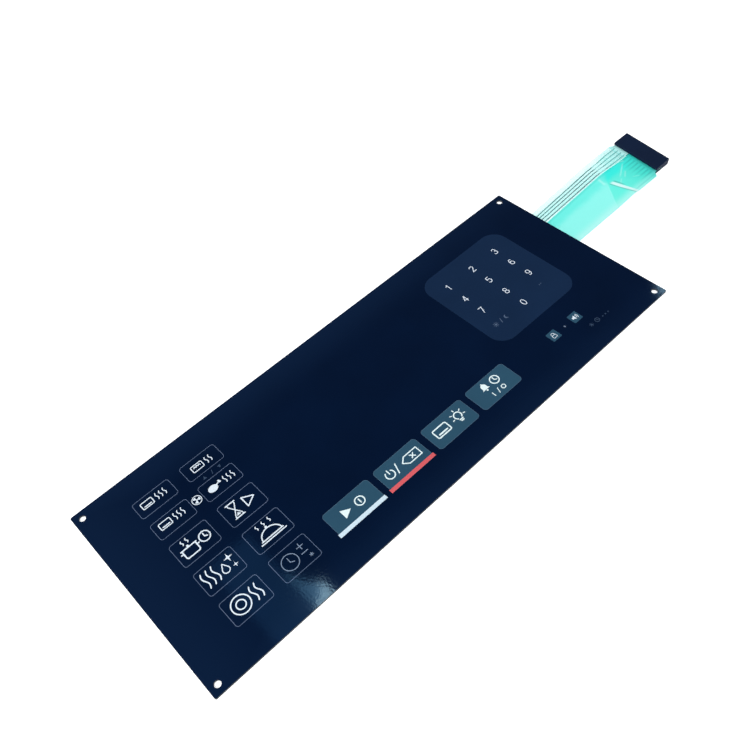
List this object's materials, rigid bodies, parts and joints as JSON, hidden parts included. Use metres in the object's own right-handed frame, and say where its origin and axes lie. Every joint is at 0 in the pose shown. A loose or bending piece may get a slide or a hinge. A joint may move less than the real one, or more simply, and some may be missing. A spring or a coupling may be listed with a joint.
{
  "type": "membrane keypad",
  "caption": "Flat membrane keypad of an oven control: dark printed film over circuit films, with a display window, corner holes, two flat film tails and a socket connector.",
  "frame": {"origin": "centre of the rectangular panel on its rear face, the face it rests on and is stuck down by", "axes": "+X along the panel's long side towards the tails and connector, +Y towards the tops of the legends, +Z out of the printed face"},
  "size_m": [0.3926, 0.12, 0.0084],
  "materials": {
    "overlay": "dark navy polyester film, printed on its rear face, soft gloss",
    "adhesive": "black acrylic transfer adhesive",
    "spacer": "black polyester spacer",
    "clear_film": "clear polyester film with printed silver traces",
    "coated_film": "polyester film, its tail under turquoise dielectric ink",
    "release_paper": "siliconised release paper",
    "housing": "black moulded nylon",
    "contact": "tin over phosphor bronze",
    "print_light": "near-white screen ink of the legends, digits and bar",
    "print_dim": "grey-blue screen ink of the dim legends and key outlines",
    "print_field": "dark blue screen ink of the number field",
    "print_tile": "slate blue screen ink of the tiles",
    "print_red": "red screen ink of the bar",
    "trace": "printed silver conductor, grey seen through the film"
  },
  "bodies": {
    "root": {"release_liner": "release_paper", "rear_adhesive": "adhesive", "lower_circuit_film": "coated_film", "circuit_spacer": "spacer", "upper_circuit_film": "clear_film", "overlay_adhesive": "adhesive", "graphic_overlay": "overlay", "connector_housing": "housing", "contact_01": "contact", "contact_02": "contact", "contact_03": "contact", "contact_04": "contact", "contact_05": "contact", "contact_06": "contact", "contact_07": "contact", "contact_08": "contact", "contact_09": "contact", "contact_10": "contact", "contact_11": "contact", "contact_12": "contact"}
  },
  "joints": []
}
